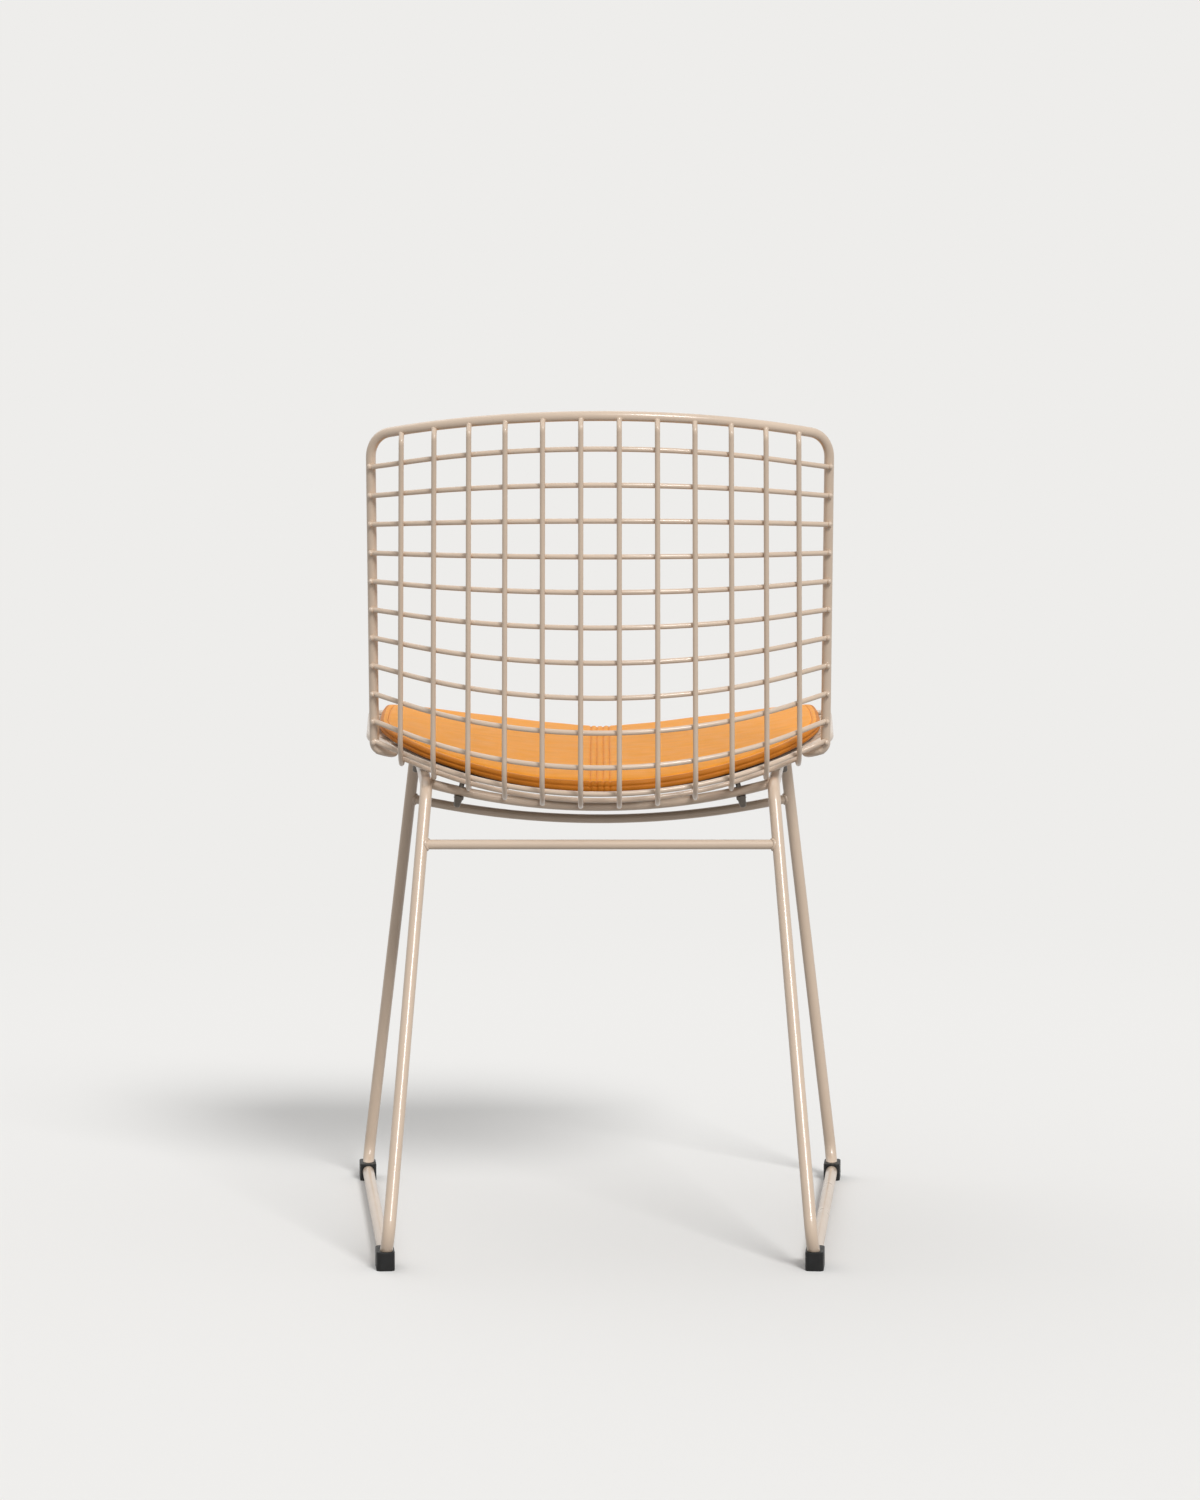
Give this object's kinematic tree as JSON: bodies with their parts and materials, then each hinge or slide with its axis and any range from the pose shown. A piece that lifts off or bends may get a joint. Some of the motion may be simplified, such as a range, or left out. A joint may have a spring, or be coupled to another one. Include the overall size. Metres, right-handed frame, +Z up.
{
  "type": "wire dining chair",
  "caption": "Dining chair with a curved welded wire shell on two bent rod side frames, with black glides and a loose leather seat pad.",
  "frame": {"origin": "on the floor, under the middle of the chair's bounding box", "axes": "+Z up, -Y to the front of the seat, +X to the sitter's left"},
  "size_m": [0.5172, 0.5104, 0.7998],
  "materials": {
    "frame_coat": "sand-coloured powder coat, semi-gloss",
    "fittings": "dark zinc-plated steel",
    "glides": "matt black",
    "pad_leather": "tan leather, fine grain, satin",
    "pad_underside": "dark non-slip felt"
  },
  "bodies": {
    "chair_frame": {"back_cross_wire_01": "frame_coat", "back_cross_wire_02": "frame_coat", "back_cross_wire_03": "frame_coat", "back_cross_wire_04": "frame_coat", "back_cross_wire_05": "frame_coat", "back_cross_wire_06": "frame_coat", "back_cross_wire_07": "frame_coat", "back_cross_wire_08": "frame_coat", "back_cross_wire_09": "frame_coat", "back_cross_wire_10": "frame_coat", "back_cross_wire_11": "frame_coat", "clamp_bolts": "fittings", "clamp_nuts": "fittings", "front_left_clamp_plate": "fittings", "front_left_glide": "glides", "front_right_clamp_plate": "fittings", "front_right_glide": "glides", "front_stretcher": "frame_coat", "left_side_frame": "frame_coat", "long_wire_01": "frame_coat", "long_wire_02": "frame_coat", "long_wire_03": "frame_coat", "long_wire_04": "frame_coat", "long_wire_05": "frame_coat", "long_wire_06": "frame_coat", "long_wire_07": "frame_coat", "long_wire_08": "frame_coat", "long_wire_09": "frame_coat", "long_wire_10": "frame_coat", "long_wire_11": "frame_coat", "long_wire_12": "frame_coat", "rear_left_clamp_plate": "fittings", "rear_left_glide": "glides", "rear_right_clamp_plate": "fittings", "rear_right_glide": "glides", "rear_stretcher": "frame_coat", "right_side_frame": "frame_coat", "seat_cross_wire_01": "frame_coat", "seat_cross_wire_02": "frame_coat", "seat_cross_wire_03": "frame_coat", "seat_cross_wire_04": "frame_coat", "seat_cross_wire_05": "frame_coat", "seat_cross_wire_06": "frame_coat", "seat_cross_wire_07": "frame_coat", "seat_cross_wire_08": "frame_coat", "seat_cross_wire_09": "frame_coat", "seat_cross_wire_10": "frame_coat", "seat_cross_wire_11": "frame_coat", "shell_rim": "frame_coat", "support_bar": "frame_coat"},
    "seat_pad": {"seat_pad_base": "pad_underside", "seat_pad_cover": "pad_leather"}
  },
  "joints": [
    {"name": "pad_lift", "type": "slide", "parent": "chair_frame", "child": "seat_pad", "axis": [0, 0, 1], "range_m": [0, 0.15]}
  ]
}
